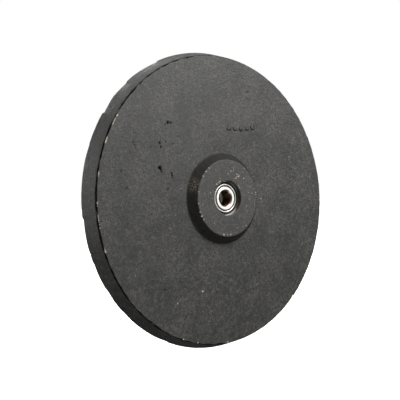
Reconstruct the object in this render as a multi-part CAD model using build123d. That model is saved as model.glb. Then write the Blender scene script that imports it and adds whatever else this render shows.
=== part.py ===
"""Cast-iron closing wheel for a seed drill or planter row unit, with its sealed ball bearing.

Millimetres. The wheel spins about Y. The boss with the open bearing pocket faces -Y, the dished
back and the pressed-in dust cap face +Y, and +Z is up. The origin is the middle of the bearing's
bore, where the fixed axle bolt passes through.
"""
from build123d import *
import math
import os

# Casting: outer sizes. The tread is a cone, wider at the back than at the front face.
FACE_DIAMETER = 304.8
REAR_DIAMETER = 318.0
RIM_WIDTH = 19.05
RIM_THICKNESS = 15.0
WEB_THICKNESS = 10.5
BOSS_BASE_DIAMETER = 95.6
BOSS_FACE_DIAMETER = 81.2
BOSS_HEIGHT = 9.0
REAR_HUB_DIAMETER = 68.0
REAR_HUB_HEIGHT = 14.4
CAST_DRAFT = 1.4
CORNER_ROUNDING = 1.2
MOUTH_ROUNDING = 0.6
WEB_FILLET = 5.0

# Bearing, 203 size with a wide inner ring
BEARING_DIAMETER = 40.0
BEARING_WIDTH = 12.0
BORE_DIAMETER = 16.26
INNER_RING_WIDTH = 15.49
INNER_RING_PROUD = 0.75
INNER_LAND_DIAMETER = 24.4
INNER_RING_ROUNDING = 0.4
BORE_CHAMFER = 1.3
OUTER_LAND_DIAMETER = 33.0
OUTER_RING_ROUNDING = 0.9
SEAL_SEAT_DIAMETER = 35.0
SEAL_SEAT_DEPTH = 1.6
BALL_DIAMETER = 6.747
BALL_COUNT = 8
PITCH_DIAMETER = 28.5
RACE_CONFORMITY = 0.52
BALL_CLEARANCE = 0.03

# Hub details
POCKET_DIAMETER = 36.4
RING_FACE_DEPTH = 4.5
SNAP_GROOVE_DIAMETER = 42.5
SNAP_GROOVE_WIDTH = 1.85
SNAP_RING_THICKNESS = 1.75
SNAP_RING_WIDTH = 3.6
SNAP_RING_PLAY = 0.05
LUG_RADIUS = 2.5
LUG_EYE_RADIUS = 1.25
LUG_ANGLE = 16

# Dust cap, pressed from sheet
CAP_SKIRT_DEPTH = 8.0
CAP_FLANGE_DIAMETER = 46.8
CAP_SHEET = 1.1
CAP_FIT = 0.05
CAP_SEAT_GAP = 0.05
CAP_BORDER_WIDTH = 1.1
CAP_BORDER_HEIGHT = 2.1
CAP_VALLEY_WIDTH = 0.8
CAP_VALLEY_HEIGHT = 1.5
CAP_VALLEY_DEPTH = 0.2
CAP_CROWN_RISE = 0.8
CAP_END_CHAMFER = 0.4

# Positions along Y, worked out from the bore's middle
RING_FRONT = -INNER_RING_WIDTH / 2
RING_REAR = INNER_RING_WIDTH / 2
BEARING_FRONT = RING_FRONT + INNER_RING_PROUD
BEARING_REAR = BEARING_FRONT + BEARING_WIDTH
BEARING_MIDDLE = BEARING_FRONT + BEARING_WIDTH / 2
BOSS_FACE = RING_FRONT - RING_FACE_DEPTH
WHEEL_FRONT = BOSS_FACE + BOSS_HEIGHT
WHEEL_REAR = WHEEL_FRONT + RIM_WIDTH
WEB_REAR = WHEEL_FRONT + WEB_THICKNESS
HUB_REAR = WEB_REAR + REAR_HUB_HEIGHT

BALL_RADIUS = BALL_DIAMETER / 2
PITCH_RADIUS = PITCH_DIAMETER / 2
RACE_RADIUS = RACE_CONFORMITY * BALL_DIAMETER


def turned(corners):
    """Solid of revolution about Y. A corner is (radius, y) or (radius, y, rounding)."""
    outline = make_face(Polyline(*[corner[:2] for corner in corners], close=True))
    for corner in corners:
        if len(corner) == 3:
            vertex = outline.vertices().sort_by_distance((corner[0], corner[1], 0))[0]
            outline = fillet(vertex, corner[2])
    return revolve(outline, Axis.Y)


def race_groove(bottom_radius, outward):
    """Torus of the raceway's section, whose deepest circle has the given radius."""
    centre = bottom_radius - RACE_RADIUS if outward else bottom_radius + RACE_RADIUS
    section = Pos(centre, BEARING_MIDDLE) * Circle(RACE_RADIUS)
    return revolve(section, Axis.Y)


def around_axis(count, radius, y, phase=0.0):
    """Locations spaced evenly on a circle about Y, each with its own Z pointing outwards."""
    return [Rot(Y=phase + 360 * i / count) * Pos(0, y, radius) for i in range(count)]


def along_y(radius, length, centre):
    """Cylinder whose axis runs along Y, at the given location."""
    return centre * Rot(X=90) * Cylinder(radius, length)


def wheel_casting():
    """Rim, web, front boss and rear hub in one casting, with the bearing's seat bored from behind."""
    front_radius = FACE_DIAMETER / 2
    rear_radius = REAR_DIAMETER / 2
    rim_inner = rear_radius - RIM_THICKNESS
    hub = REAR_HUB_DIAMETER / 2
    seat = BEARING_DIAMETER / 2
    groove = SNAP_GROOVE_DIAMETER / 2
    groove_end = BEARING_REAR + SNAP_GROOVE_WIDTH
    return turned([
        (POCKET_DIAMETER / 2, BOSS_FACE, MOUTH_ROUNDING),
        (BOSS_FACE_DIAMETER / 2, BOSS_FACE, CORNER_ROUNDING),
        (BOSS_BASE_DIAMETER / 2, WHEEL_FRONT, 2 * CORNER_ROUNDING),
        (front_radius, WHEEL_FRONT, MOUTH_ROUNDING),
        (rear_radius, WHEEL_REAR, CORNER_ROUNDING),
        (rim_inner + CAST_DRAFT, WHEEL_REAR, CORNER_ROUNDING),
        (rim_inner, WEB_REAR, WEB_FILLET),
        (hub + CAST_DRAFT, WEB_REAR, WEB_FILLET),
        (hub, HUB_REAR, CORNER_ROUNDING),
        (seat, HUB_REAR, MOUTH_ROUNDING),
        (seat, groove_end),
        (groove, groove_end),
        (groove, BEARING_REAR),
        (seat, BEARING_REAR),
        (seat, BEARING_FRONT),
        (POCKET_DIAMETER / 2, BEARING_FRONT),
    ])


def bearing_outer_ring():
    """Outer ring with a ball groove and a stepped seat for a seal at each end."""
    outer = BEARING_DIAMETER / 2
    seat = SEAL_SEAT_DIAMETER / 2
    land = OUTER_LAND_DIAMETER / 2
    blank = turned([
        (outer, BEARING_FRONT, OUTER_RING_ROUNDING),
        (outer, BEARING_REAR, OUTER_RING_ROUNDING),
        (seat, BEARING_REAR),
        (seat, BEARING_REAR - SEAL_SEAT_DEPTH),
        (land, BEARING_REAR - SEAL_SEAT_DEPTH),
        (land, BEARING_FRONT + SEAL_SEAT_DEPTH),
        (seat, BEARING_FRONT + SEAL_SEAT_DEPTH),
        (seat, BEARING_FRONT),
    ])
    return blank - race_groove(PITCH_RADIUS + BALL_RADIUS + BALL_CLEARANCE, True)


def bearing_inner_ring():
    """Wide inner ring that the axle bolt clamps, with deep chamfers at the bore."""
    bore = BORE_DIAMETER / 2
    land = INNER_LAND_DIAMETER / 2
    blank = turned([
        (bore, RING_FRONT + BORE_CHAMFER),
        (bore + BORE_CHAMFER, RING_FRONT),
        (land, RING_FRONT, INNER_RING_ROUNDING),
        (land, RING_REAR, INNER_RING_ROUNDING),
        (bore + BORE_CHAMFER, RING_REAR),
        (bore, RING_REAR - BORE_CHAMFER),
    ])
    return blank - race_groove(PITCH_RADIUS - BALL_RADIUS - BALL_CLEARANCE, False)


CAGE_INNER = INNER_LAND_DIAMETER / 2 + 0.5
CAGE_OUTER = OUTER_LAND_DIAMETER / 2 - 0.6
CAGE_SHEET = 0.6
CAGE_BALL_CLEARANCE = 0.12
RIVET_RADIUS = 0.5


def cage_half(side):
    """One pressed ribbon: flat between the balls, with a round cup over each. side is -1 or 1."""
    plate = turned([
        (CAGE_INNER, BEARING_MIDDLE),
        (CAGE_OUTER, BEARING_MIDDLE),
        (CAGE_OUTER, BEARING_MIDDLE + side * CAGE_SHEET),
        (CAGE_INNER, BEARING_MIDDLE + side * CAGE_SHEET),
    ])
    reach = BALL_RADIUS + 2
    band = turned([
        (CAGE_INNER, BEARING_MIDDLE),
        (CAGE_OUTER, BEARING_MIDDLE),
        (CAGE_OUTER, BEARING_MIDDLE + side * reach),
        (CAGE_INNER, BEARING_MIDDLE + side * reach),
    ])
    pocket_radius = BALL_RADIUS + CAGE_BALL_CLEARANCE
    for centre in around_axis(BALL_COUNT, PITCH_RADIUS, BEARING_MIDDLE):
        plate += band & (centre * Sphere(pocket_radius + CAGE_SHEET))
    for centre in around_axis(BALL_COUNT, PITCH_RADIUS, BEARING_MIDDLE):
        plate -= centre * Sphere(pocket_radius)
    for centre in rivet_places():
        plate -= along_y(RIVET_RADIUS, 4 * CAGE_SHEET, centre)
    return plate


def rivet_places():
    """One rivet midway between each pair of balls."""
    return around_axis(BALL_COUNT, PITCH_RADIUS, BEARING_MIDDLE, 180 / BALL_COUNT)


def cage_rivets():
    """Rivets that hold the two ribbons together, as separate solids."""
    head_height = 0.3
    rivets = []
    for centre in rivet_places():
        rivet = along_y(RIVET_RADIUS, 2 * (CAGE_SHEET + head_height), centre)
        for side in (-1, 1):
            head = centre * Pos(0, side * (CAGE_SHEET + head_height / 2), 0)
            rivet += along_y(RIVET_RADIUS + 0.35, head_height, head)
        rivets.append(rivet)
    return Compound(children=rivets)


SEAL_THICKNESS = 1.25
SEAL_LIP_CLEARANCE = 0.06
INSERT_INNER = 13.5
INSERT_OUTER = 15.1
INSERT_DEPTH = 0.5
INSERT_RISE = 0.9


def seal_faces(side):
    """Outer and inner Y of a seal. side is -1 for the front, 1 for the rear."""
    outer_face = BEARING_MIDDLE + side * (BEARING_WIDTH / 2 - 0.3)
    return outer_face, outer_face - side * SEAL_THICKNESS


def seal_lip(side):
    """Moulded rubber ring, held in the outer ring and running close on the inner ring's land."""
    outer_face, inner_face = seal_faces(side)
    groove = outer_face - side * INSERT_DEPTH
    lip = INNER_LAND_DIAMETER / 2 + SEAL_LIP_CLEARANCE
    seat = SEAL_SEAT_DIAMETER / 2
    return turned([
        (lip, outer_face - side * 0.35),
        (lip + 0.5, outer_face),
        (INSERT_INNER, outer_face),
        (INSERT_INNER, groove),
        (INSERT_OUTER, groove),
        (INSERT_OUTER, outer_face),
        (seat - 0.35, outer_face),
        (seat, outer_face - side * 0.35),
        (seat, inner_face),
        (lip + 0.6, inner_face),
        (lip, inner_face + side * 0.3),
    ])


def seal_insert(side):
    """Steel shroud ring, set in the seal and standing up as a rounded bead."""
    outer_face = seal_faces(side)[0]
    groove = outer_face - side * INSERT_DEPTH
    bead = outer_face + side * INSERT_RISE
    return turned([
        (INSERT_INNER, groove),
        (INSERT_OUTER, groove),
        (INSERT_OUTER, bead, 0.4),
        (INSERT_INNER, bead, 0.4),
    ])


def snap_ring():
    """Internal retaining ring in its groove behind the bearing, open at the top with two eyed lugs."""
    outer = SNAP_GROOVE_DIAMETER / 2 - SNAP_RING_PLAY
    inner = outer - SNAP_RING_WIDTH
    front = BEARING_REAR + SNAP_RING_PLAY
    rear = front + SNAP_RING_THICKNESS
    middle = (front + rear) / 2
    lug_pitch = inner + 0.3
    lugs = [Rot(Y=sign * LUG_ANGLE) * Pos(0, middle, lug_pitch) for sign in (-1, 1)]
    gap_width = 2 * lug_pitch * math.sin(math.radians(LUG_ANGLE))
    ring = turned([(inner, front), (outer, front), (outer, rear), (inner, rear)])
    ring -= Pos(0, middle, outer) * Box(gap_width, 2 * SNAP_RING_THICKNESS, 2.5 * SNAP_RING_WIDTH)
    for lug in lugs:
        ring += along_y(LUG_RADIUS, SNAP_RING_THICKNESS, lug)
    for lug in lugs:
        ring -= along_y(LUG_EYE_RADIUS, 2 * SNAP_RING_THICKNESS, lug)
    return ring


def crown_arc(radius, edge_y, rise):
    """Shallow arc from the axis out to a radius, centred on the axis, rise above its edge."""
    sphere = (radius ** 2 + rise ** 2) / (2 * rise)
    half_drop = sphere - math.sqrt(sphere ** 2 - (radius / 2) ** 2)
    apex = edge_y + rise
    return ThreePointArc((0, apex), (radius / 2, apex - half_drop), (radius, edge_y))


def dust_cap():
    """Pressed steel cap: a crowned top with a rolled border, and a skirt that plugs the hub's bore."""
    skirt = BEARING_DIAMETER / 2 - CAP_FIT
    skirt_inner = skirt - CAP_SHEET
    seat = HUB_REAR + CAP_SEAT_GAP
    skirt_end = seat - CAP_SKIRT_DEPTH
    flange = CAP_FLANGE_DIAMETER / 2
    flange_middle = seat + CAP_BORDER_HEIGHT / 2
    border = flange - CAP_BORDER_WIDTH
    valley_outer = border - CAP_VALLEY_WIDTH
    valley_inner = valley_outer - CAP_VALLEY_WIDTH
    valley_bottom = ((valley_inner + valley_outer) / 2, seat + CAP_VALLEY_HEIGHT)
    valley_lip = seat + CAP_VALLEY_HEIGHT + CAP_VALLEY_DEPTH
    shoulder = skirt_inner - CAP_SHEET
    under_crown = seat + CAP_SHEET / 2
    roll_under = (flange - 0.3 * CAP_BORDER_WIDTH, seat + 0.3 * CAP_BORDER_WIDTH)
    profile = [
        crown_arc(valley_inner, valley_lip, CAP_CROWN_RISE),
        ThreePointArc((valley_inner, valley_lip), valley_bottom, (valley_outer, valley_lip)),
        ThreePointArc((valley_outer, valley_lip), (border, seat + CAP_BORDER_HEIGHT), (flange, flange_middle)),
        ThreePointArc((flange, flange_middle), roll_under, (border, seat)),
        Line((border, seat), (skirt, seat)),
        Line((skirt, seat), (skirt, skirt_end + CAP_END_CHAMFER)),
        Line((skirt, skirt_end + CAP_END_CHAMFER), (skirt - CAP_END_CHAMFER, skirt_end)),
        Line((skirt - CAP_END_CHAMFER, skirt_end), (skirt_inner, skirt_end)),
        Line((skirt_inner, skirt_end), (skirt_inner, seat - CAP_SHEET / 2)),
        Line((skirt_inner, seat - CAP_SHEET / 2), (shoulder, under_crown)),
        crown_arc(shoulder, under_crown, CAP_CROWN_RISE),
        Line((0, under_crown + CAP_CROWN_RISE), (0, valley_lip + CAP_CROWN_RISE)),
    ]
    return revolve(make_face(Curve() + profile), Axis.Y)


def all_parts():
    """Every node's name with its shape."""
    parts = {
        "wheel_casting": wheel_casting(),
        "bearing_outer_ring": bearing_outer_ring(),
        "bearing_inner_ring": bearing_inner_ring(),
        "cage_front_half": cage_half(-1),
        "cage_rear_half": cage_half(1),
        "cage_rivets": cage_rivets(),
        "front_seal_lip": seal_lip(-1),
        "front_seal_insert": seal_insert(-1),
        "rear_seal_lip": seal_lip(1),
        "rear_seal_insert": seal_insert(1),
        "snap_ring": snap_ring(),
        "dust_cap": dust_cap(),
    }
    for number, centre in enumerate(around_axis(BALL_COUNT, PITCH_RADIUS, BEARING_MIDDLE), 1):
        parts[f"ball_{number}"] = centre * Sphere(BALL_RADIUS)
    return parts


os.makedirs("parts", exist_ok=True)
for node, shape in all_parts().items():
    export_step(shape, f"parts/{node}.step")
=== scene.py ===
"""Looks for the cast-iron closing wheel: black painted casting, sealed ball bearing, zinc dust cap.

The wheel spins about Y, its boss faces -Y and +Z is up. Lengths are in metres; MM turns the
millimetres of the named sizes into metres. Angles round the wheel start at +Z and grow towards +X.
"""
import bpy
import bmesh
import math
from mathutils import Matrix, Vector, kdtree, noise


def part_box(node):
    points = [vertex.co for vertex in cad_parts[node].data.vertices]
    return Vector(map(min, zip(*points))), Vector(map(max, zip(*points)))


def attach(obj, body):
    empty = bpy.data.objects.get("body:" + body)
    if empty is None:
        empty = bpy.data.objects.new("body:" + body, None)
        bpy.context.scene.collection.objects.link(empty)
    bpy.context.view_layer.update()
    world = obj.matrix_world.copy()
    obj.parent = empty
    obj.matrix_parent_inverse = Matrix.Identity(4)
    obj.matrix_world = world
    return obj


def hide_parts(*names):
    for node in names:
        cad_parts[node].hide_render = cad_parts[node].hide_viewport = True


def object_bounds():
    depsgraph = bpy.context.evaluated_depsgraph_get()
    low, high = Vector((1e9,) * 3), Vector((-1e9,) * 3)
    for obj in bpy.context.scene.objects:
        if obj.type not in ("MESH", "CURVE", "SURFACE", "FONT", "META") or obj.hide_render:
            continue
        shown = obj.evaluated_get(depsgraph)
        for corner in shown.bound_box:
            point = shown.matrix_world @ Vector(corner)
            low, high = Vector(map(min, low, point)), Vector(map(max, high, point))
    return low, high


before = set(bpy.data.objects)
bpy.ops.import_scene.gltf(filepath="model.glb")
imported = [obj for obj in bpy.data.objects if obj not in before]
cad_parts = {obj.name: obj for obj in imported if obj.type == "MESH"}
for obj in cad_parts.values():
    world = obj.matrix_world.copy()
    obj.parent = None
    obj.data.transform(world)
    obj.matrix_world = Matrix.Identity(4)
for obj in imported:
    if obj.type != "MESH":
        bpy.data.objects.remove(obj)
cad_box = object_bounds()

MM = 0.001

# Thicknesses of the casting along Y
BOSS_HEIGHT = 9.0 * MM
RIM_WIDTH = 19.05 * MM
WEB_THICKNESS = 10.5 * MM

# Places along Y and outer sizes, read from the frame
casting_low, casting_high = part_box("wheel_casting")
bearing_low, bearing_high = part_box("bearing_outer_ring")
cap_low, cap_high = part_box("dust_cap")
BOSS_FACE = casting_low.y
WHEEL_FRONT = BOSS_FACE + BOSS_HEIGHT
WHEEL_REAR = WHEEL_FRONT + RIM_WIDTH
WEB_REAR = WHEEL_FRONT + WEB_THICKNESS
HUB_REAR = casting_high.y
BEARING_RADIUS = bearing_high.x

# Radii of the casting, whose tread is a cone that widens from the face to the back
FACE_RADIUS = 152.4 * MM
REAR_RADIUS = 159.0 * MM
RIM_THICKNESS = 15 * MM
RIM_INNER_RADIUS = REAR_RADIUS - RIM_THICKNESS
POCKET_RADIUS = 18.2 * MM
BOSS_FACE_RADIUS = 40.6 * MM
BOSS_BASE_RADIUS = 47.8 * MM
HUB_RADIUS = 34 * MM
DRAFT = 1.4 * MM
SNAP_GROOVE_RADIUS = 21.25 * MM
SNAP_GROOVE_WIDTH = 1.85 * MM

# How far the casting's edges and hollows are rounded
EDGE_ROUNDING = 1.2 * MM
MOUTH_ROUNDING = 0.6 * MM
BOSS_FILLET = 2.4 * MM
DISH_FILLET = 5.0 * MM
FACE_CORNER_ROUNDING = 0.25 * MM


# ---------------------------------------------------------------- outlines and turned meshes

def corner_arc(before, corner, after, rounding, steps):
    """Points of the arc that rounds one corner of an outline."""
    to_before = (before - corner).normalized()
    to_after = (after - corner).normalized()
    half = to_before.angle(to_after) / 2
    centre = corner + (to_before + to_after).normalized() * (rounding / math.sin(half))
    start = corner + to_before * (rounding / math.tan(half)) - centre
    sweep = start.angle_signed(corner + to_after * (rounding / math.tan(half)) - centre)
    return [centre + Matrix.Rotation(-sweep * i / steps, 2) @ start for i in range(steps + 1)]


def rounded(corners, steps=4):
    """Closed outline through corners given as (radius, y), or (radius, y, rounding) for an arc."""
    points = []
    for i, corner in enumerate(corners):
        here = Vector(corner[:2])
        if len(corner) == 2:
            points.append(here)
            continue
        before = Vector(corners[i - 1][:2])
        after = Vector(corners[(i + 1) % len(corners)][:2])
        points += corner_arc(before, here, after, corner[2], steps)
    return points


def spaced(points, step):
    """The closed outline with its long runs divided. step is a length, or a function of a run's middle."""
    result = []
    for i, a in enumerate(points):
        b = points[(i + 1) % len(points)]
        length = step((a + b) / 2) if callable(step) else step
        count = max(1, math.ceil((b - a).length / length))
        result += [a.lerp(b, k / count) for k in range(count)]
    return result


MERGE_DISTANCE = 1e-7


def turned_bmesh(outline, segments):
    """Closed outline of (radius, y) points, turned about Y. Points on the axis are merged."""
    bm = bmesh.new()
    rings = []
    for k in range(segments):
        angle = 2 * math.pi * k / segments
        s, c = math.sin(angle), math.cos(angle)
        rings.append([bm.verts.new((p.x * s, p.y, p.x * c)) for p in outline])
    for k, ring in enumerate(rings):
        following = rings[(k + 1) % segments]
        for i in range(len(outline)):
            j = (i + 1) % len(outline)
            bm.faces.new((ring[i], ring[j], following[j], following[i]))
    bmesh.ops.remove_doubles(bm, verts=bm.verts, dist=MERGE_DISTANCE)
    bmesh.ops.recalc_face_normals(bm, faces=bm.faces)
    return bm


def finished_piece(bm, name, body, material, replaced, smooth_angle=35):
    """Turns a bmesh into a shaded piece that rides on its body and stands for a CAD node."""
    mesh = bpy.data.meshes.new(name)
    bm.normal_update()
    bm.to_mesh(mesh)
    bm.free()
    mesh.shade_smooth()
    mesh.set_sharp_from_angle(angle=math.radians(smooth_angle))
    piece = bpy.data.objects.new(name, mesh)
    bpy.context.scene.collection.objects.link(piece)
    mesh.materials.append(material)
    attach(piece, body)
    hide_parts(replaced)


def polar(angle, radius, y):
    """Point at an angle in degrees round the wheel."""
    a = math.radians(angle)
    return Vector((radius * math.sin(a), y, radius * math.cos(a)))


def polar_direction(co):
    """Unit vector pointing away from the spin axis."""
    return Vector((co.x, 0, co.z)).normalized()


# ---------------------------------------------------------------- the casting

CAST_SEGMENTS = 400
# Longest runs of the section's mesh, in front and on the tread, and behind
FRONT_STEP = 1.6 * MM
BEHIND_STEP = 3.2 * MM
# Extra rows of points beside the face's corner, in mm from it
ROWS_ON_FACE = (2.2, 1.6, 1.1, 0.7, 0.4)
ROWS_ON_TREAD = (0.4, 0.7, 1.0, 1.4, 1.8, 2.4)

# The tread in the plane of radius and Y: its corner at the face, its direction and its way out
TREAD_START = Vector((FACE_RADIUS, WHEEL_FRONT))
TREAD_ALONG = (Vector((REAR_RADIUS, WHEEL_REAR)) - TREAD_START).normalized()
TREAD_OUT = Vector((TREAD_ALONG.y, -TREAD_ALONG.x))
TREAD_LENGTH = (Vector((REAR_RADIUS, WHEEL_REAR)) - TREAD_START).length

# The sand skin: its mean depth below the nominal surface, and its waves as (length, height), in mm
SKIN_DEPTH = 0.2
SKIN_WAVES = [(34, 0.10), (9, 0.07), (3.2, 0.05)]

# The dark crack of flaked paint along the face's corner, a groove whose near-black is partly painted
# shade: how far from the corner its middle lies on the tread, how far that wanders, and its size
CRACK_PLACE = 0.45 * MM
CRACK_WANDER = 0.35 * MM
CRACK_HALF_WIDTH = 1.35 * MM
CRACK_DEPTH = 0.6 * MM
CRACK_REACH = 2.2 * MM

# The tables of marks below break a rule for this script: many of their angles and radii were worked out
# by another program and not chosen by hand.
# Pits in the face, cut in and darkened with painted shade: (angle in degrees, radius in mm, size in mm,
# depth in mm)
FACE_PITS = [
    (319.0, 103.2, 2.4, 1.1), (320.6, 100.8, 1.7, 0.8), (317.2, 104.4, 1.3, 0.6), (306.2, 97.3, 1.9, 0.8),
    (304.6, 94.2, 1.8, 0.7), (292.2, 86.1, 3.0, 1.4), (291.4, 84.4, 2.0, 0.9), (290.4, 82.9, 1.5, 0.6),
    (292.6, 71.2, 1.6, 0.7), (291.0, 69.6, 1.8, 0.8), (289.4, 68.4, 1.4, 0.6), (279.1, 71.9, 1.4, 0.5),
    (297.6, 124.0, 1.1, 0.4), (296.9, 121.6, 1.2, 0.5), (295.8, 119.4, 1.1, 0.4), (283.4, 128.5, 1.2, 0.4),
    (276.5, 119.8, 1.3, 0.4), (309.5, 92.2, 1.2, 0.4), (262.0, 92.5, 1.1, 0.3), (222.0, 118.0, 1.1, 0.3),
    (19.6, 123.6, 1.2, 0.4), (150.0, 96.0, 1.1, 0.3), (74.0, 110.0, 1.1, 0.3), (112.0, 133.0, 1.0, 0.3),
    (188.0, 88.0, 1.1, 0.4), (301.0, 104.0, 1.2, 0.4), (286.0, 103.0, 1.1, 0.4), (312.5, 84.0, 1.1, 0.3),
    (175.3, 63.1, 1.3, 0.5), (34.0, 68.0, 1.1, 0.4), (20.0, 58.0, 1.0, 0.4),
]
BOSS_PITS = [
    (56.8, 20.9, 0.8, 0.3), (218.5, 33.6, 1.0, 0.4), (120.6, 31.5, 0.9, 0.3), (200.0, 27.0, 0.8, 0.3),
]
# Paint knocked off to bare metal on the face: (angle in degrees, radius in mm, size in mm)
FACE_FLECKS = [
    (198.6, 100.0, 1.1), (197.9, 98.6, 0.6), (33.0, 139.0, 0.7), (92.0, 55.8, 0.8),
    (238.0, 133.0, 0.7), (212.0, 121.0, 0.8), (214.5, 124.0, 0.6), (168.0, 139.0, 0.7), (347.0, 91.0, 0.6),
]
# The same just inside the face's corner: (angle in degrees, size in mm, depth in mm)
CHIP_INSET = 1.0 * MM
CORNER_CHIPS = [
    (303.2, 1.0, 0.4), (301.8, 0.9, 0.3), (301.2, 0.9, 0.3), (300.6, 0.9, 0.3), (299.9, 0.9, 0.3),
    (294.0, 1.0, 0.4), (293.3, 0.9, 0.3), (292.6, 1.1, 0.4), (280.6, 1.0, 0.4), (279.8, 0.6, 0.2),
    (270.0, 1.0, 0.4), (269.2, 0.7, 0.2), (265.6, 0.8, 0.3), (264.9, 0.7, 0.3), (264.2, 0.9, 0.3),
    (263.4, 0.7, 0.3), (262.4, 0.8, 0.3), (261.4, 0.8, 0.3), (253.6, 0.8, 0.3), (252.9, 1.2, 0.4),
    (202.9, 1.0, 0.3), (195.8, 1.0, 0.3), (181.4, 0.8, 0.3), (180.4, 1.1, 0.4), (139.2, 1.8, 1.1),
    (62.0, 1.0, 0.4), (20.0, 0.8, 0.3),
]
# Dents in the face's corner, darkened with painted shade: (angle in degrees, size in mm, depth in mm)
CORNER_DENTS = [(268.0, 1.2, 0.6), (267.3, 2.0, 1.0), (266.5, 1.5, 0.7)]
BARE_DEPTH = 0.12 * MM
# How much a mark's outline departs from round, as a share of its size, and over what length
MARK_UNEVENNESS = 0.35
MARK_WAVE = 0.9 * MM
# Flats where the parting flash was knocked off the back corner. Each is deep where it starts, at an
# angle in degrees, and fades over a length in mm, towards smaller angles where it is negative.
# Each is (angle, length, depth in mm).
REAR_FLATS = [
    (335.2, -34, 1.2), (319.4, -22, 1.1), (303.6, 22, 1.6), (291.0, -15, 0.4), (264.9, -27, 1.3),
    (253.6, -9, 0.6), (249.4, -12, 0.7), (238.6, -15, 0.8), (228.0, -10, 0.4), (205.0, 18, 0.8),
    (166.0, -16, 0.8), (139.5, 6, 1.0), (121.0, -22, 0.9), (88.0, -14, 0.7), (54.0, 20, 0.9),
    (18.0, -12, 0.6),
]
FLAT_REACH = 11 * MM
FLAT_SKIN = 3 * MM
FLAT_START = 0.8
# Small bright flecks on the boss: (angle in degrees, radius in mm, size in mm)
BOSS_FLECKS = [
    (10.7, 28.9, 0.8), (28.5, 28.6, 0.9), (31.0, 26.4, 0.8), (29.9, 24.1, 0.8), (315.7, 21.0, 0.9),
    (325.3, 20.7, 0.8), (336.0, 23.0, 0.6), (191.8, 38.9, 0.9), (177.5, 38.1, 0.8), (184.0, 38.6, 0.7),
    (244.5, 40.2, 1.1), (251.3, 40.2, 0.9), (238.0, 39.8, 0.8), (218.5, 32.8, 0.6), (323.0, 40.2, 0.8),
    (315.0, 40.2, 0.7), (306.0, 40.2, 0.7), (281.0, 40.2, 0.6), (264.0, 40.2, 0.7), (56.8, 20.5, 0.6),
    (82.8, 34.4, 0.7), (82.6, 40.0, 0.8), (38.0, 39.6, 0.7), (350.0, 36.0, 0.6), (35.5, 27.6, 0.7),
    (25.0, 22.8, 0.6), (331.0, 20.2, 0.7), (16.0, 33.0, 0.6), (48.0, 31.0, 0.6), (2.0, 25.5, 0.5),
]
# A plain row of raised foundry pips, with painted shade round their sloping sides: (angle in degrees,
# radius in mm)
PIP_ROW = [(9.5, 76.5), (15.8, 78.3), (21.6, 81.3), (26.8, 85.4), (31.4, 90.3)]
PIP_SIZE = 3.1 * MM
PIP_HEIGHT = 1.0 * MM


def tread_point(along):
    """Point of the section on the tread, at a distance from the face's corner."""
    return tuple(TREAD_START + TREAD_ALONG * along)


def casting_outline():
    """The casting's section, with close rows of points where the crack runs."""
    bearing_rear = bearing_high.y
    groove_end = bearing_rear + SNAP_GROOVE_WIDTH
    corners = [
        (POCKET_RADIUS, BOSS_FACE, MOUTH_ROUNDING),
        (BOSS_FACE_RADIUS, BOSS_FACE, EDGE_ROUNDING),
        (BOSS_BASE_RADIUS, WHEEL_FRONT, BOSS_FILLET),
    ]
    corners += [(FACE_RADIUS - inside * MM, WHEEL_FRONT) for inside in ROWS_ON_FACE]
    corners.append((FACE_RADIUS, WHEEL_FRONT, FACE_CORNER_ROUNDING))
    corners += [tread_point(along * MM) for along in ROWS_ON_TREAD]
    corners += [
        (REAR_RADIUS, WHEEL_REAR, EDGE_ROUNDING),
        (RIM_INNER_RADIUS + DRAFT, WHEEL_REAR, EDGE_ROUNDING),
        (RIM_INNER_RADIUS, WEB_REAR, DISH_FILLET),
        (HUB_RADIUS + DRAFT, WEB_REAR, DISH_FILLET),
        (HUB_RADIUS, HUB_REAR, EDGE_ROUNDING),
        (BEARING_RADIUS, HUB_REAR, MOUTH_ROUNDING),
        (BEARING_RADIUS, groove_end),
        (SNAP_GROOVE_RADIUS, groove_end),
        (SNAP_GROOVE_RADIUS, bearing_rear),
        (BEARING_RADIUS, bearing_rear),
        (BEARING_RADIUS, bearing_low.y),
        (POCKET_RADIUS, bearing_low.y),
    ]
    return spaced(rounded(corners), casting_step)


def casting_step(middle):
    """How long a run of the section's mesh may be: short in front and on the tread, long behind."""
    behind = middle.y > WEB_REAR - 0.1 * MM and middle.x < RIM_INNER_RADIUS - DRAFT
    return BEHIND_STEP if behind else FRONT_STEP


def corner_mark(angle, size, depth, kind, inset=0.0):
    """A mark that cuts the face's corner away at 45 degrees, its middle inset from the corner."""
    inwards = (Vector((0, 1, 0)) - polar(angle, 1, 0)).normalized()
    return polar(angle, FACE_RADIUS - inset, WHEEL_FRONT), size * MM, depth * MM, inwards, kind


def cast_marks():
    """Every mark as (place, size, depth, direction, kind). A None direction is the surface's normal."""
    marks = []
    for y, pits in ((WHEEL_FRONT, FACE_PITS), (BOSS_FACE, BOSS_PITS)):
        for angle, radius, size, depth in pits:
            marks.append((polar(angle, radius * MM, y), size * MM, -depth * MM, None, "pit"))
    for y, flecks in ((WHEEL_FRONT, FACE_FLECKS), (BOSS_FACE, BOSS_FLECKS)):
        for angle, radius, size in flecks:
            marks.append((polar(angle, radius * MM, y), size * MM, -BARE_DEPTH, None, "bare"))
    marks += [corner_mark(*chip, "bare", CHIP_INSET) for chip in CORNER_CHIPS]
    marks += [corner_mark(*dent, "grime_and_painted_shade") for dent in CORNER_DENTS]
    for angle, radius in PIP_ROW:
        marks.append((polar(angle, radius * MM, WHEEL_FRONT), PIP_SIZE, PIP_HEIGHT, None, "pip"))
    return marks


def vertex_tree(bm):
    """Search tree over the mesh's vertices, whose indices it gives back."""
    tree = kdtree.KDTree(len(bm.verts))
    for i, v in enumerate(bm.verts):
        tree.insert(v.co, i)
    tree.balance()
    return tree


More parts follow.
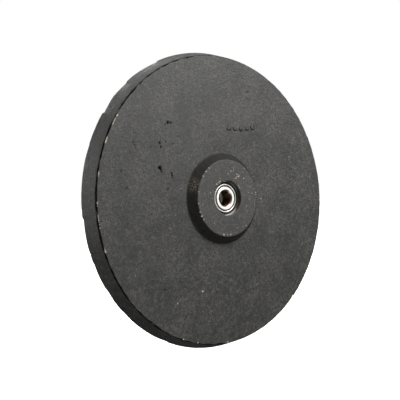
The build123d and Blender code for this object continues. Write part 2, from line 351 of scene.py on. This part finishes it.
def refine_near(bm, places):
    """Divides the mesh finely within reach of each (place, reach)."""
    tree = vertex_tree(bm)
    bm.verts.ensure_lookup_table()
    close = set()
    for place, reach in places:
        close.update(bm.verts[i] for _, i, _ in tree.find_range(place, reach))
    edges = [e for e in bm.edges if e.verts[0] in close and e.verts[1] in close]
    bmesh.ops.subdivide_edges(bm, edges=edges, cuts=2, use_grid_fill=True)


def skin_depth(co):
    """How deep the sand-cast skin lies below the nominal surface at a point, never above it."""
    waves = sum(noise.noise(co / (length * MM)) * height for length, height in SKIN_WAVES)
    return max(0.0, SKIN_DEPTH + waves) * MM


def tread_place(co):
    """How far along the tread from the face's corner a point is, and how far outside it."""
    offset = Vector((math.hypot(co.x, co.z), co.y)) - TREAD_START
    return offset.dot(TREAD_ALONG), offset.dot(TREAD_OUT)


def corner_distance(co):
    """Distance along the skin from the face's corner, negative on the face and positive on the tread."""
    along, out = tread_place(co)
    if along > 0 and out > -0.1 * MM:
        return along
    if co.y < WHEEL_FRONT + 0.1 * MM:
        return math.hypot(co.x, co.z) - FACE_RADIUS
    return math.inf


def wander(place, length, seed):
    """Smooth noise, about -1 to 1, whose waves are about as long as length."""
    return noise.noise(place / length + Vector((0, 0, seed)))


def crack_share(co):
    """Depth of the crack beside the face's corner at a point on the skin, 0 to 1."""
    distance = corner_distance(co)
    if abs(distance) > CRACK_REACH:
        return 0.0
    angle = math.atan2(co.x, co.z)
    around = Vector((math.cos(angle), math.sin(angle), 0)) * FACE_RADIUS
    middle = CRACK_PLACE + wander(around, 4 * MM, 0) * CRACK_WANDER
    half_width = CRACK_HALF_WIDTH * (1 + wander(around, 7 * MM, 9) * 0.7)
    strength = max(0.0, min(1.0, 0.95 + wander(around, 6.5 * MM, 5) * 1.4))
    return strength * max(0.0, 1 - ((distance - middle) / half_width) ** 2)


def flat_depth(co):
    """How far the back corner's knocked-off flats cut into the tread at a point."""
    along, out = tread_place(co)
    edge_share = (along - TREAD_LENGTH + FLAT_REACH) / FLAT_REACH
    if edge_share <= 0 or out < -FLAT_SKIN:
        return 0.0
    angle = math.degrees(math.atan2(co.x, co.z))
    depth = 0.0
    for start, length, deep in REAR_FLATS:
        turn = (angle - start + 180) % 360 - 180
        share = math.radians(turn) * REAR_RADIUS / (length * MM)
        if 0 <= share < 1:
            depth = max(depth, deep * (1 - share) * min(1.0, share * abs(length) / FLAT_START))
    return depth * min(1.0, edge_share) * MM


def press_marks(bm, marks, masks):
    """Moves the vertices near each mark and paints its mask: bare metal for flecks and chips, painted
    shade for pits, dents and the pips' sloping sides.
    """
    tree = vertex_tree(bm)
    bm.verts.ensure_lookup_table()
    normals = [v.normal.copy() for v in bm.verts]
    for place, size, depth, direction, kind in marks:
        for co, i, distance in tree.find_range(place, size * (1 + MARK_UNEVENNESS)):
            v = bm.verts[i]
            uneven = 1 + MARK_UNEVENNESS * noise.noise(co / MARK_WAVE)
            share = distance / (size * uneven)
            if share >= 1:
                continue
            strength = pip_height(share) if kind == "pip" else (1 - share * share) ** 2
            v.co += (direction or normals[i]) * (depth * strength)
            # Pits, dents and the sloping sides of the pips get painted shade in this mask.
            mask = masks["bare" if kind == "bare" else "grime_and_painted_shade"]
            mask_amount = 0.9 * (1 - strength) if kind == "pip" else strength * 1.3
            v[mask] = max(v[mask], min(1.0, mask_amount))


def pip_height(share):
    """Height of a raised pip, flat-topped with a sloping side, at a share of its radius."""
    return min(1.0, (1 - share * share) * 1.6)


def is_bored(co):
    """Whether a point is on the machined walls inside the hub, which have no sand skin or paint."""
    return math.hypot(co.x, co.z) < SNAP_GROOVE_RADIUS + 0.3 * MM and co.y > BOSS_FACE + 0.3 * MM


def casting(material):
    """The casting with its sand skin, pits, chipped corner and knocked-off flash as real shape."""
    bm = turned_bmesh(casting_outline(), CAST_SEGMENTS)
    marks = cast_marks()
    refine_near(bm, [(place, size * 1.2 + 0.8 * MM) for place, size, _, _, _ in marks])
    bm.normal_update()
    masks = {name: bm.verts.layers.float.new(name) for name in ("bare", "grime_and_painted_shade", "bored")}
    moves = []
    for v in bm.verts:
        if is_bored(v.co):
            v[masks["bored"]] = 1.0
            continue
        # The crack's depth also darkens it through the mask: near-black painted shade in the groove, over
        # flaked paint.
        crack = crack_share(v.co)
        v[masks["grime_and_painted_shade"]] = min(1.0, crack * 2.2)
        depth = skin_depth(v.co) + crack * CRACK_DEPTH
        moves.append((v, -v.normal * depth - polar_direction(v.co) * flat_depth(v.co)))
    for v, move in moves:
        v.co += move
    bm.normal_update()
    press_marks(bm, marks, masks)
    finished_piece(bm, "wheel_casting_cast", "wheel", material, "wheel_casting", 60)


# ---------------------------------------------------------------- bearing, snap ring and dust cap

TURNED_SEGMENTS = 160
SEAL_LIP_RADIUS = 12.26 * MM
SEAL_SEAT_RADIUS = 17.5 * MM
INSERT_INNER = 13.5 * MM
INSERT_OUTER = 15.1 * MM
INSERT_DEPTH = 0.5

CAP_SEGMENTS = 192
CAP_SHEET = 1.1 * MM
CAP_SEAT_GAP = 0.05 * MM
# Small dents in the cap: (angle in degrees, radius in mm, size in mm, depth in mm)
CAP_DENTS = [(40, 9, 3.4, 0.10), (160, 13, 2.6, 0.08), (255, 6, 2.2, 0.07), (300, 15, 2.8, 0.09)]


def turned_piece(name, corners, body, material, replaced, step=0.6 * MM):
    """A finished turned piece from its section's corners."""
    bm = turned_bmesh(spaced(rounded(corners), step), TURNED_SEGMENTS)
    finished_piece(bm, name, body, material, replaced)


def seal(end, side, rubber, steel):
    """One seal: a moulded rubber ring with a lip, and the steel shroud ring that stands up from it."""
    low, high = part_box(f"{end}_seal_lip")
    outer = low.y if side < 0 else high.y
    inner = high.y if side < 0 else low.y

    def sunk(depth, face=outer):
        """Place along Y at a depth in mm towards the bearing's middle from a face."""
        return face - side * depth * MM

    lip = [
        (SEAL_LIP_RADIUS, sunk(0.35)),
        (SEAL_LIP_RADIUS + 0.25 * MM, sunk(0.02), 0.1 * MM),
        (SEAL_LIP_RADIUS + 0.75 * MM, sunk(0.02), 0.1 * MM),
        (SEAL_LIP_RADIUS + 1.0 * MM, sunk(0.3), 0.1 * MM),
        (INSERT_INNER, sunk(0.3)),
        (INSERT_INNER, sunk(INSERT_DEPTH)),
        (INSERT_OUTER, sunk(INSERT_DEPTH)),
        (INSERT_OUTER, outer),
        (INSERT_OUTER + 0.25 * MM, outer, 0.08 * MM),
        (INSERT_OUTER + 0.5 * MM, sunk(0.25), 0.1 * MM),
        (SEAL_SEAT_RADIUS - 0.75 * MM, sunk(0.25), 0.1 * MM),
        (SEAL_SEAT_RADIUS - 0.45 * MM, outer, 0.1 * MM),
        (SEAL_SEAT_RADIUS, sunk(0.35), 0.15 * MM),
        (SEAL_SEAT_RADIUS, inner),
        (SEAL_LIP_RADIUS + 0.6 * MM, inner, 0.1 * MM),
        (SEAL_LIP_RADIUS, sunk(-0.3, inner)),
    ]
    name = f"{end}_seal_lip"
    turned_piece(name + "_moulded", lip, "wheel", rubber, name, 0.3 * MM)
    name = f"{end}_seal_insert"
    low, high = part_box(name)
    bead = low.y if side < 0 else high.y
    shroud = [
        (INSERT_INNER, sunk(INSERT_DEPTH)),
        (INSERT_OUTER, sunk(INSERT_DEPTH)),
        (INSERT_OUTER, bead, 0.45 * MM),
        (INSERT_INNER, bead, 0.6 * MM),
    ]
    turned_piece(name + "_pressed", shroud, "wheel", steel, name, 0.2 * MM)


def cap_outline():
    """The dust cap's section: crowned top, rolled border with a valley inside it, tucked-in skirt."""
    skirt = BEARING_RADIUS - 0.05 * MM
    skirt_inner = skirt - CAP_SHEET
    flange = cap_high.x
    top = cap_high.y
    end = cap_low.y
    seat = HUB_REAR + CAP_SEAT_GAP
    return rounded([
        (0, top - 0.02 * MM),
        (flange * 0.45, top - 0.12 * MM, 30 * MM),
        (flange - 3.2 * MM, top - 0.72 * MM, 2 * MM),
        (flange - 2.3 * MM, top - 1.05 * MM, 0.6 * MM),
        (flange - 1.5 * MM, top - 0.35 * MM, 0.5 * MM),
        (flange, top - 0.45 * MM, 0.9 * MM),
        (flange, seat, 0.8 * MM),
        (skirt, seat, 0.12 * MM),
        (skirt, end + 0.7 * MM, 1.0 * MM),
        (skirt - 0.45 * MM, end, 0.1 * MM),
        (skirt_inner, end, 0.1 * MM),
        (skirt_inner, seat - 0.5 * MM, 0.4 * MM),
        (skirt_inner - 1.3 * MM, seat + 0.65 * MM, 1.2 * MM),
        (0, seat + 1.35 * MM),
    ], steps=6)


def dust_cap(material):
    """The pressed cap, with the faint waves and small dents that thin sheet picks up."""
    bm = turned_bmesh(spaced(cap_outline(), 0.7 * MM), CAP_SEGMENTS)
    places = [(polar(a, r * MM, cap_high.y), size * MM, deep * MM) for a, r, size, deep in CAP_DENTS]
    for v in bm.verts:
        radius = math.hypot(v.co.x, v.co.z)
        if radius > cap_high.x - 3 * MM or v.co.y < HUB_REAR + 0.5 * MM:
            continue
        sink = (0.03 + 0.03 * noise.noise(v.co / (8 * MM))) * MM
        for place, size, deep in places:
            flat_distance = math.hypot(v.co.x - place.x, v.co.z - place.z)
            if flat_distance < size:
                sink += deep * (1 - (flat_distance / size) ** 2) ** 2
        v.co.y -= sink
    finished_piece(bm, "dust_cap_pressed", "cap", material, "dust_cap", 40)


# ---------------------------------------------------------------- finishes

class Finish:
    """A material being built: its node tree, with short ways to add the nodes used here."""

    def __init__(self, name):
        self.material = bpy.data.materials.new(name)
        self.material.use_nodes = True
        self.tree = self.material.node_tree
        self.shader = self.tree.nodes["Principled BSDF"]
        self.place = self.tree.nodes.new("ShaderNodeTexCoord").outputs["Object"]

    def feed(self, socket, value):
        """Links an output to a socket, or sets the socket to a number or colour."""
        if isinstance(value, bpy.types.NodeSocket):
            self.tree.links.new(value, socket)
        else:
            socket.default_value = value

    def node(self, kind, inputs, **settings):
        """A new node with its settings and inputs. Inputs are keyed by name or index."""
        node = self.tree.nodes.new(kind)
        for key, value in settings.items():
            setattr(node, key, value)
        for key, value in inputs.items():
            self.feed(node.inputs[key], value)
        return node

    def grain(self, size, detail=2.0, roughness=0.5, place=None):
        """Soft noise, 0 to 1, whose features are about as large as size."""
        inputs = {"Vector": place or self.place, "Scale": 1 / size}
        inputs.update({"Detail": detail, "Roughness": roughness})
        return self.node("ShaderNodeTexNoise", inputs).outputs[0]

    def specks(self, spacing, share, seed=0.0):
        """Small separate dots, 1 inside and 0 outside, whose radius is a share of their spacing."""
        moved = self.vector_maths("ADD", self.place, (seed, seed, seed)).outputs[0]
        inputs = {"Vector": moved, "Scale": 1 / spacing, "Randomness": 1.0}
        cells = self.node("ShaderNodeTexVoronoi", inputs).outputs["Distance"]
        return self.span(cells, share, share * 0.6)

    def scuffs(self, length):
        """Thin faint curved lines, as left by handling, broken up along their run."""
        field = self.grain(length, 1.0, 0.4)
        off_line = self.maths("ABSOLUTE", self.maths("SUBTRACT", field, 0.53), 0.0)
        line = self.span(off_line, 0.006, 0.001)
        broken = self.span(self.grain(length * 0.4, 2.0, 0.5), 0.52, 0.66)
        return self.product(line, broken, 0.7)

    def span(self, value, start, end, low=0.0, high=1.0):
        """The value mapped smoothly from start..end to low..high."""
        inputs = {"Value": value, "From Min": start, "From Max": end, "To Min": low, "To Max": high}
        return self.node("ShaderNodeMapRange", inputs, interpolation_type="SMOOTHSTEP").outputs[0]

    def maths(self, operation, first, second):
        """One operation on two values."""
        return self.node("ShaderNodeMath", {0: first, 1: second}, operation=operation).outputs[0]

    def vector_maths(self, operation, first, second):
        """The node for one operation on two vectors."""
        return self.node("ShaderNodeVectorMath", {0: first, 1: second}, operation=operation)

    def product(self, first, *others):
        """All the values multiplied together."""
        for other in others:
            first = self.maths("MULTIPLY", first, other)
        return first

    def mix(self, share, first, second):
        """Colour between first and second."""
        first = first if isinstance(first, bpy.types.NodeSocket) else (*first, 1.0)
        second = second if isinstance(second, bpy.types.NodeSocket) else (*second, 1.0)
        node = self.node("ShaderNodeMix", {}, data_type="RGBA")
        self.feed(node.inputs[0], share)
        self.feed(node.inputs[6], first)
        self.feed(node.inputs[7], second)
        return node.outputs[2]

    def layered(self, colour, layers):
        """The colour with each (share, colour) layer laid over it in turn."""
        for share, layer in layers:
            colour = self.mix(share, colour, layer)
        return colour

    def blend(self, share, first, second):
        """Number between first and second."""
        node = self.node("ShaderNodeMix", {0: share, 2: first, 3: second}, data_type="FLOAT")
        return node.outputs[0]

    def mask(self, name):
        """A mask painted on the mesh's vertices."""
        return self.node("ShaderNodeAttribute", {}, attribute_name=name).outputs["Fac"]

    def radius(self):
        """Distance from the spin axis."""
        flat = self.vector_maths("MULTIPLY", self.place, (1, 0, 1)).outputs[0]
        return self.node("ShaderNodeVectorMath", {0: flat}, operation="LENGTH").outputs["Value"]

    def near(self, place, reach, core):
        """1 within core of a place, fading to 0 at reach from it."""
        distance = self.vector_maths("DISTANCE", self.place, place).outputs["Value"]
        return self.span(distance, reach, core)

    def along(self):
        """Place along the spin axis."""
        return self.node("ShaderNodeSeparateXYZ", {0: self.place}).outputs[1]

    def ring_place(self):
        """Coordinates that change only with radius and Y, for turning marks."""
        return self.node("ShaderNodeCombineXYZ", {0: self.radius(), 1: self.along()}).outputs[0]

    def bump(self, height, distance, under=None):
        """A surface normal raised by a height of 0 to 1 times distance."""
        inputs = {"Height": height, "Distance": distance, "Strength": 1.0}
        if under:
            inputs["Normal"] = under
        return self.node("ShaderNodeBump", inputs).outputs[0]

    def surface(self, **inputs):
        """Feeds the shader's sockets, with spaces in their names written as underscores."""
        for key, value in inputs.items():
            if isinstance(value, tuple) and len(value) == 3:
                value = (*value, 1.0)
            self.feed(self.shader.inputs[key.replace("_", " ")], value)
        return self.material


# Where the cone's paint is scraped thin, with painted highlight for glints
SCRAPED_PLACE = (-41.3 * MM, WHEEL_FRONT - 4.5 * MM, 15.0 * MM)
SCRAPED_REACH = 11 * MM
SCRAPED_CORE = 3 * MM


def boss_masks(finish):
    """Masks, 1 inside and 0 outside, for the boss's flat face and for the cone round it."""
    radius = finish.radius()
    front = finish.span(finish.along(), WHEEL_FRONT + 1.5 * MM, WHEEL_FRONT + 0.5 * MM)
    inside = finish.span(radius, BOSS_BASE_RADIUS + 1.4 * MM, BOSS_BASE_RADIUS)
    outside_face = finish.span(radius, BOSS_FACE_RADIUS - 0.6 * MM, BOSS_FACE_RADIUS + 0.2 * MM)
    boss = finish.product(front, inside)
    cone = finish.product(boss, outside_face)
    return finish.maths("SUBTRACT", boss, cone), cone


def skin_paint(finish, cloud, mottle, sand):
    """Thin black paint on the sand skin: clouded, crumbly in patches, with lint, scuffs and near-black
    specks of painted shade for voids.
    """
    crumbs = finish.grain(1.9 * MM, 2.0, 0.6)
    patches = finish.span(cloud, 0.40, 0.62, 0.15, 0.6)
    light_crumbs = finish.product(finish.span(crumbs, 0.54, 0.68), patches)
    dark_crumbs = finish.product(finish.span(crumbs, 0.46, 0.32), patches)
    lint = finish.product(finish.specks(4.2 * MM, 0.13), finish.span(mottle, 0.48, 0.56), 0.5)
    # Voids are not cut in: these near-black specks are painted shade.
    painted_void_shade = finish.product(finish.specks(5.2 * MM, 0.17, 0.37), finish.span(cloud, 0.48, 0.56))
    paint = finish.mix(finish.span(cloud, 0.35, 0.7), (0.026, 0.026, 0.024), (0.046, 0.045, 0.042))
    layers = [
        (finish.span(mottle, 0.48, 0.72), (0.072, 0.070, 0.064)),
        (finish.span(mottle, 0.46, 0.30), (0.018, 0.018, 0.017)),
        (light_crumbs, (0.095, 0.092, 0.085)),
        (dark_crumbs, (0.008, 0.008, 0.008)),
        (finish.span(sand, 0.48, 0.30), (0.008, 0.008, 0.008)),
        (lint, (0.22, 0.19, 0.15)),
        (painted_void_shade, (0.004, 0.004, 0.004)),
        (finish.scuffs(26 * MM), (0.10, 0.097, 0.090)),
        (finish.scuffs(17 * MM), (0.006, 0.006, 0.006)),
    ]
    return finish.layered(paint, layers)


def cone_paint(finish, mottle):
    """Smoother, darker paint on the cone, scraped thin in one place, where bright scratches are painted
    highlight for glints.
    """
    scraped_patch_and_glints = finish.near(SCRAPED_PLACE, SCRAPED_REACH, SCRAPED_CORE)
    scratches = finish.span(finish.grain(1.3 * MM, 2.0, 0.6), 0.47, 0.62)
    paint = finish.mix(finish.span(mottle, 0.3, 0.7), (0.019, 0.019, 0.018), (0.029, 0.028, 0.027))
    layers = [
        # The scraped patch: a brownish thinned tone, then bright scratches that are painted highlight
        # standing in for glints.
        (finish.product(scraped_patch_and_glints, 0.5), (0.036, 0.029, 0.023)),
        (finish.product(scraped_patch_and_glints, scratches), (0.12, 0.105, 0.085)),
    ]
    return finish.layered(paint, layers)


def painted_iron():
    """Thin black paint over sand-cast iron, with bare chips, a worn boss face and a machined bore."""
    finish = Finish("black_painted_cast_iron")
    boss_face, cone = boss_masks(finish)
    bare, grime_and_painted_shade, bored = (finish.mask(name) for name in ("bare", "grime_and_painted_shade", "bored"))
    cloud = finish.grain(38 * MM, 3.0, 0.6)
    mottle = finish.grain(4.2 * MM, 5.0, 0.72)
    sand = finish.grain(0.9 * MM, 3.0, 0.6)
    rings = finish.span(finish.grain(1.5 * MM, 1.0, 0.5, finish.ring_place()), 0.54, 0.64)
    broken = finish.span(finish.grain(8 * MM, 2.0, 0.5), 0.50, 0.62)
    rubbed = finish.product(finish.specks(3.1 * MM, 0.19, 0.81), finish.span(mottle, 0.50, 0.58))
    layers = [
        (finish.product(boss_face, 0.12), (0.10, 0.096, 0.088)),
        (finish.product(rings, broken, boss_face, 0.6), (0.13, 0.125, 0.115)),
        (cone, cone_paint(finish, mottle)),
        (finish.product(rubbed, boss_face), (0.40, 0.37, 0.32)),
        # Near-black painted shade in the crack, pits, dents and round the pips, together with grime; also
        # matt.
        (grime_and_painted_shade, (0.003, 0.003, 0.0035)),
        (bare, finish.mix(sand, (0.42, 0.35, 0.26), (0.78, 0.71, 0.58))),
        (bored, finish.mix(mottle, (0.030, 0.020, 0.014), (0.075, 0.052, 0.036))),
    ]
    colour = finish.layered(skin_paint(finish, cloud, mottle, sand), layers)
    rough = finish.blend(cone, finish.span(mottle, 0.25, 0.75, 0.42, 0.62), 0.25)
    rough = finish.blend(grime_and_painted_shade, finish.blend(bored, rough, 0.38), 0.9)
    shine = finish.blend(grime_and_painted_shade, finish.blend(cone, 0.5, 0.05), 0.05)
    wide = finish.bump(finish.grain(2.4 * MM, 3.0, 0.6), 0.42 * MM)
    fine = finish.bump(finish.product(sand, finish.blend(cone, 1.0, 0.6)), 0.30 * MM, wide)
    turned = finish.bump(finish.grain(0.35 * MM, 1.0, 0.5, finish.ring_place()), 0.02 * MM)
    normal = finish.node("ShaderNodeMix", {0: bored, 4: fine, 5: turned}, data_type="VECTOR").outputs[1]
    return finish.surface(Base_Color=colour, Roughness=rough, Normal=normal, Specular_IOR_Level=shine)


# Inside this radius the inner ring's bore and chamfer are dark: oil, with painted shade
OIL_AND_SHADE_RADIUS = 9.1 * MM


def ground_steel(name, colour, dark, rough, oil_and_shade_radius=0.0):
    """Bright ground steel with fine turning marks. Inside oil_and_shade_radius it is dark: oiled, and
    painted shade in the bore and chamfer.
    """
    finish = Finish(name)
    marks = finish.grain(0.22 * MM, 2.0, 0.6, finish.ring_place())
    stain = finish.grain(3.5 * MM, 3.0, 0.6)
    bright = finish.mix(finish.span(stain, 0.45, 0.8), colour, dark)
    # Dark brown inside the radius: oil film, and painted shade for the bore and its chamfer.
    oil_and_shade = finish.span(finish.radius(), oil_and_shade_radius + 0.1 * MM, oil_and_shade_radius - 0.1 * MM)
    shade = finish.mix(oil_and_shade, bright, finish.mix(stain, (0.12, 0.09, 0.07), (0.50, 0.36, 0.26)))
    roughness = finish.span(marks, 0.2, 0.8, rough - 0.05, rough + 0.07)
    normal = finish.bump(marks, 0.012 * MM)
    return finish.surface(Base_Color=shade, Metallic=1.0, Roughness=roughness, Normal=normal)


def polished_ball_steel():
    """Polished chrome steel with a thin uneven film of grease."""
    finish = Finish("polished_ball_steel")
    film = finish.grain(1.6 * MM, 3.0, 0.6)
    colour = finish.mix(finish.span(film, 0.4, 0.7), (0.74, 0.74, 0.76), (0.50, 0.46, 0.36))
    roughness = finish.span(film, 0.3, 0.8, 0.07, 0.26)
    normal = finish.bump(finish.grain(0.4 * MM), 0.004 * MM)
    return finish.surface(Base_Color=colour, Metallic=1.0, Roughness=roughness, Normal=normal)


def pressed_cage_steel():
    """Thin cold-rolled strip, satin with fine scratches and grease in its hollows."""
    finish = Finish("pressed_cage_steel")
    film = finish.grain(2.2 * MM, 4.0, 0.6)
    scratches = finish.grain(0.25 * MM, 2.0, 0.7, finish.ring_place())
    colour = finish.mix(finish.span(film, 0.45, 0.75), (0.52, 0.52, 0.53), (0.26, 0.22, 0.15))
    roughness = finish.span(scratches, 0.2, 0.8, 0.26, 0.46)
    return finish.surface(
        Base_Color=colour, Metallic=1.0, Roughness=roughness, Normal=finish.bump(scratches, 0.02 * MM)
    )


def moulded_rubber():
    """Black nitrile rubber, matt, with a fine spark-eroded grain and a little dust."""
    finish = Finish("moulded_nitrile_rubber")
    dust = finish.grain(3.0 * MM, 4.0, 0.6)
    skin = finish.grain(0.18 * MM, 2.0, 0.6)
    colour = finish.mix(finish.span(dust, 0.5, 0.8), (0.010, 0.010, 0.011), (0.035, 0.030, 0.026))
    roughness = finish.span(skin, 0.2, 0.8, 0.5, 0.72)
    return finish.surface(Base_Color=colour, Roughness=roughness, Normal=finish.bump(skin, 0.03 * MM))


def phosphated_steel():
    """Black phosphate on spring steel: a dull crystalline coat, oiled, rubbed bright in spots."""
    finish = Finish("phosphated_spring_steel")
    crystals = finish.grain(0.3 * MM, 3.0, 0.7)
    rubbed = finish.grain(4.0 * MM, 3.0, 0.6)
    colour = finish.mix(crystals, (0.030, 0.031, 0.034), (0.085, 0.085, 0.088))
    colour = finish.mix(finish.span(rubbed, 0.62, 0.78), colour, (0.22, 0.21, 0.20))
    roughness = finish.span(crystals, 0.2, 0.8, 0.36, 0.58)
    return finish.surface(
        Base_Color=colour, Metallic=0.7, Roughness=roughness, Normal=finish.bump(crystals, 0.03 * MM)
    )


def zinc_plate():
    """Clear-passivated zinc on pressed sheet: cloudy, faintly yellow and blue, with fine scuffs."""
    finish = Finish("clear_zinc_plate")
    cloud = finish.grain(7.0 * MM, 3.0, 0.6)
    tint = finish.grain(11.0 * MM, 2.0, 0.5)
    scuffs = finish.grain(0.5 * MM, 4.0, 0.7)
    colour = finish.mix(finish.span(cloud, 0.3, 0.75), (0.62, 0.62, 0.61), (0.70, 0.70, 0.71))
    colour = finish.mix(finish.span(tint, 0.52, 0.75), colour, (0.62, 0.62, 0.72))
    colour = finish.mix(finish.span(tint, 0.46, 0.25), colour, (0.68, 0.64, 0.55))
    roughness = finish.span(cloud, 0.25, 0.8, 0.36, 0.42)
    normal = finish.bump(scuffs, 0.02 * MM)
    return finish.surface(Base_Color=colour, Metallic=1.0, Roughness=roughness, Normal=normal)


def dress(node, material):
    """Gives a CAD node's mesh a material in every slot."""
    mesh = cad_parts[node].data
    if not mesh.materials:
        mesh.materials.append(material)
    for i in range(len(mesh.materials)):
        mesh.materials[i] = material


# ---------------------------------------------------------------- camera, floor and light

CAMERA_PLACE = Vector((-0.4658, -0.5571, 0.0))
CAMERA_AZIMUTH = -38.39
CAMERA_ELEVATION = -1.91
CAMERA_ROLL = -2.37
CAMERA_LENS = 61.30
CAMERA_SHIFT = (-0.0050, -0.0589)
SENSOR_WIDTH = 36
NEAR_CLIP = 0.01

FLOOR_WIDTH = 40.0
FLOOR_GAP = 0.2 * MM

# Strength of the world's light, and the heights of its direction between which it grows
WORLD_LIGHT = {"From Min": -0.15, "From Max": 0.75, "To Min": 0.05, "To Max": 0.56}

# Soft boxes, all aimed at the wheel's middle: (name, place, width in metres, power in watts)
SOFT_BOXES = [
    ("front_key", (0.28, -0.6, 0.7), 0.7, 13.5),
    ("front_right", (0.95, -1.2, 0.2), 0.8, 3.5),
    ("front_low", (-0.2, -0.9, -0.95), 0.8, 5),
    ("back_left", (-1.3, 1.1, 0.4), 1.0, 11),
    ("back_top", (0.2, 1.6, 0.95), 0.8, 26),
    ("low_left", (-1.3, 0.2, -0.3), 0.8, 2),
]


def photo_camera():
    """Camera to the left of the wheel's front, level with its middle and tipped a little to one side."""
    data = bpy.data.cameras.new("camera")
    data.lens = CAMERA_LENS
    data.sensor_width = SENSOR_WIDTH
    data.shift_x, data.shift_y = CAMERA_SHIFT
    data.clip_start = NEAR_CLIP
    camera = bpy.data.objects.new("camera", data)
    aim = Matrix.Rotation(math.radians(CAMERA_AZIMUTH), 4, "Z")
    tilt = Matrix.Rotation(math.radians(90 - CAMERA_ELEVATION), 4, "X")
    roll = Matrix.Rotation(math.radians(CAMERA_ROLL), 4, "Z")
    camera.matrix_world = Matrix.Translation(CAMERA_PLACE) @ aim @ tilt @ roll
    bpy.context.scene.collection.objects.link(camera)
    bpy.context.scene.camera = camera


def pale_floor():
    """A wide pale floor under the wheel, which doesn't throw its own light on the wheel."""
    bm = bmesh.new()
    bmesh.ops.create_grid(bm, x_segments=8, y_segments=8, size=FLOOR_WIDTH / 2)
    mesh = bpy.data.meshes.new("floor")
    bm.to_mesh(mesh)
    bm.free()
    floor = bpy.data.objects.new("floor", mesh)
    floor.location = (0, 0, cad_box[0].z - FLOOR_GAP)
    finish = Finish("pale_floor")
    shade = finish.mix(finish.grain(0.4, 2.0), (0.93, 0.93, 0.93), (0.96, 0.96, 0.96))
    mesh.materials.append(finish.surface(
        Base_Color=shade, Roughness=0.9, Emission_Color=(1.0, 1.0, 1.0), Emission_Strength=1.0
    ))
    floor.visible_diffuse = False
    floor.visible_glossy = False
    floor.visible_shadow = False
    bpy.context.scene.collection.objects.link(floor)


def soft_box(name, place, width, power):
    """A square soft box aimed at the wheel's middle, hidden from the camera."""
    data = bpy.data.lights.new(name, "AREA")
    data.shape = "SQUARE"
    data.size = width
    data.energy = power
    light = bpy.data.objects.new(name, data)
    light.location = place
    light.rotation_euler = (-Vector(place)).to_track_quat("-Z", "Y").to_euler()
    light.visible_camera = False
    bpy.context.scene.collection.objects.link(light)


def studio_world():
    """White to the camera. As a light it is a dim room, brighter overhead and behind the wheel."""
    world = bpy.data.worlds.new("studio")
    world.use_nodes = True
    bpy.context.scene.world = world
    nodes, links = world.node_tree.nodes, world.node_tree.links
    background = nodes["Background"]
    output = nodes["World Output"]
    place = nodes.new("ShaderNodeTexCoord")
    direction = nodes.new("ShaderNodeSeparateXYZ")
    links.new(place.outputs["Generated"], direction.inputs[0])
    height = nodes.new("ShaderNodeMapRange")
    height.interpolation_type = "SMOOTHSTEP"
    for key, value in WORLD_LIGHT.items():
        height.inputs[key].default_value = value
    links.new(direction.outputs[2], height.inputs["Value"])
    links.new(height.outputs[0], background.inputs["Strength"])
    plain = nodes.new("ShaderNodeBackground")
    plain.inputs["Strength"].default_value = 1.0
    plain.inputs["Color"].default_value = (1, 1, 1, 1)
    background.inputs["Color"].default_value = (1, 1, 1, 1)
    ray = nodes.new("ShaderNodeLightPath")
    choice = nodes.new("ShaderNodeMixShader")
    links.new(ray.outputs["Is Camera Ray"], choice.inputs[0])
    links.new(background.outputs[0], choice.inputs[1])
    links.new(plain.outputs[0], choice.inputs[2])
    links.new(choice.outputs[0], output.inputs["Surface"])


def studio():
    """Camera, floor and soft light."""
    photo_camera()
    pale_floor()
    studio_world()
    for box in SOFT_BOXES:
        soft_box(*box)
    bpy.context.scene.view_settings.view_transform = "Standard"


# ---------------------------------------------------------------- the whole model

def model():
    """Every new piece, and a finish for every CAD node that stays."""
    casting(painted_iron())
    rubber = moulded_rubber()
    seal_steel = ground_steel("seal_shroud_steel", (0.68, 0.65, 0.57), (0.48, 0.45, 0.38), 0.26)
    seal("front", -1, rubber, seal_steel)
    seal("rear", 1, rubber, seal_steel)
    dust_cap(zinc_plate())
    inner_steel = ground_steel(
        "ground_ring_steel", (0.80, 0.80, 0.78), (0.62, 0.60, 0.56), 0.30, OIL_AND_SHADE_RADIUS
    )
    dress("bearing_inner_ring", inner_steel)
    outer_steel = ground_steel("outer_ring_steel", (0.70, 0.70, 0.71), (0.5, 0.48, 0.44), 0.3)
    dress("bearing_outer_ring", outer_steel)
    dress("snap_ring", phosphated_steel())
    cage = pressed_cage_steel()
    for node in ("cage_front_half", "cage_rear_half", "cage_rivets"):
        dress(node, cage)
    balls = polished_ball_steel()
    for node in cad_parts:
        if node.startswith("ball_"):
            dress(node, balls)


model()
studio()
